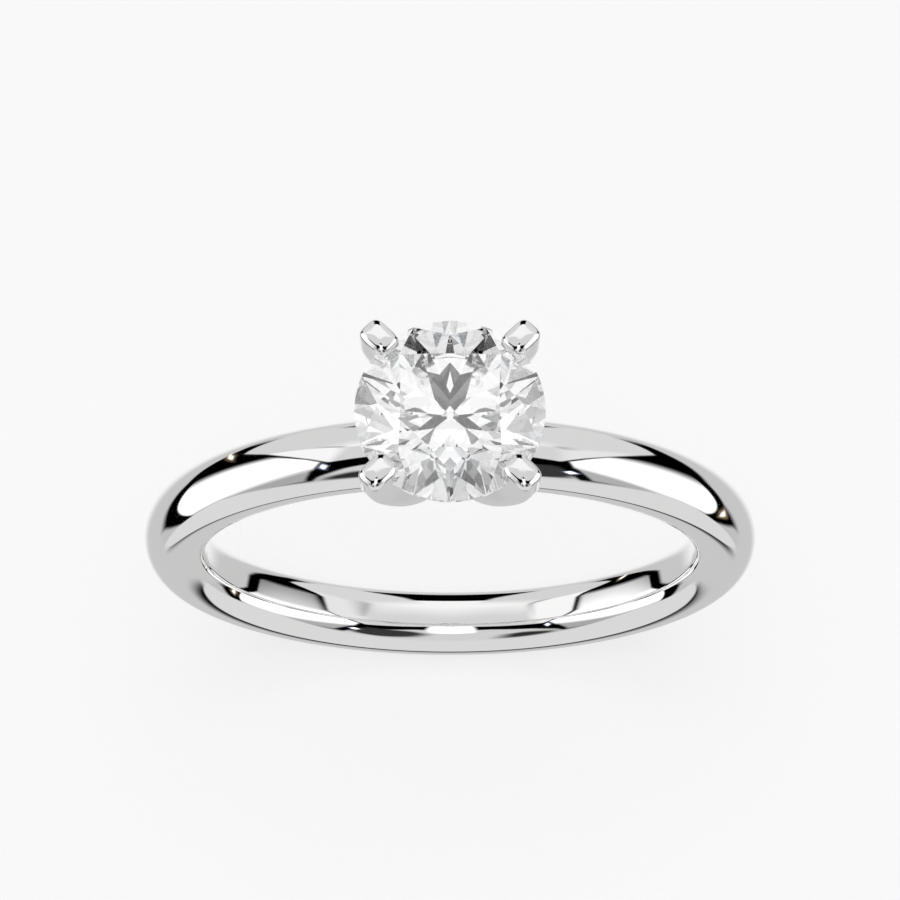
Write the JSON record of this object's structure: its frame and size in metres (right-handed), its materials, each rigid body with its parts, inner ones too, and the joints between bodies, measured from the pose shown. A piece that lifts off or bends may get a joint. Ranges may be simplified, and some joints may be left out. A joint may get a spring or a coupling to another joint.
{
  "type": "engagement ring",
  "caption": "Slim rounded comfort-fit band carrying a round brilliant stone in a raised four-prong head.",
  "frame": {"origin": "centre of the finger bore, in the band's middle plane", "axes": "+Y along the finger's axis, +Z from the finger towards the stone, +X across the hand"},
  "size_m": [0.0216, 0.0062, 0.0257],
  "materials": {
    "white_gold": "mirror polished, rhodium plated",
    "diamond": "polished facets"
  },
  "bodies": {
    "root": {"shank": "white_gold", "head_base": "white_gold", "head_peg": "white_gold", "prong_front_left": "white_gold", "prong_front_right": "white_gold", "prong_back_left": "white_gold", "prong_back_right": "white_gold", "center_diamond": "diamond"}
  },
  "joints": []
}
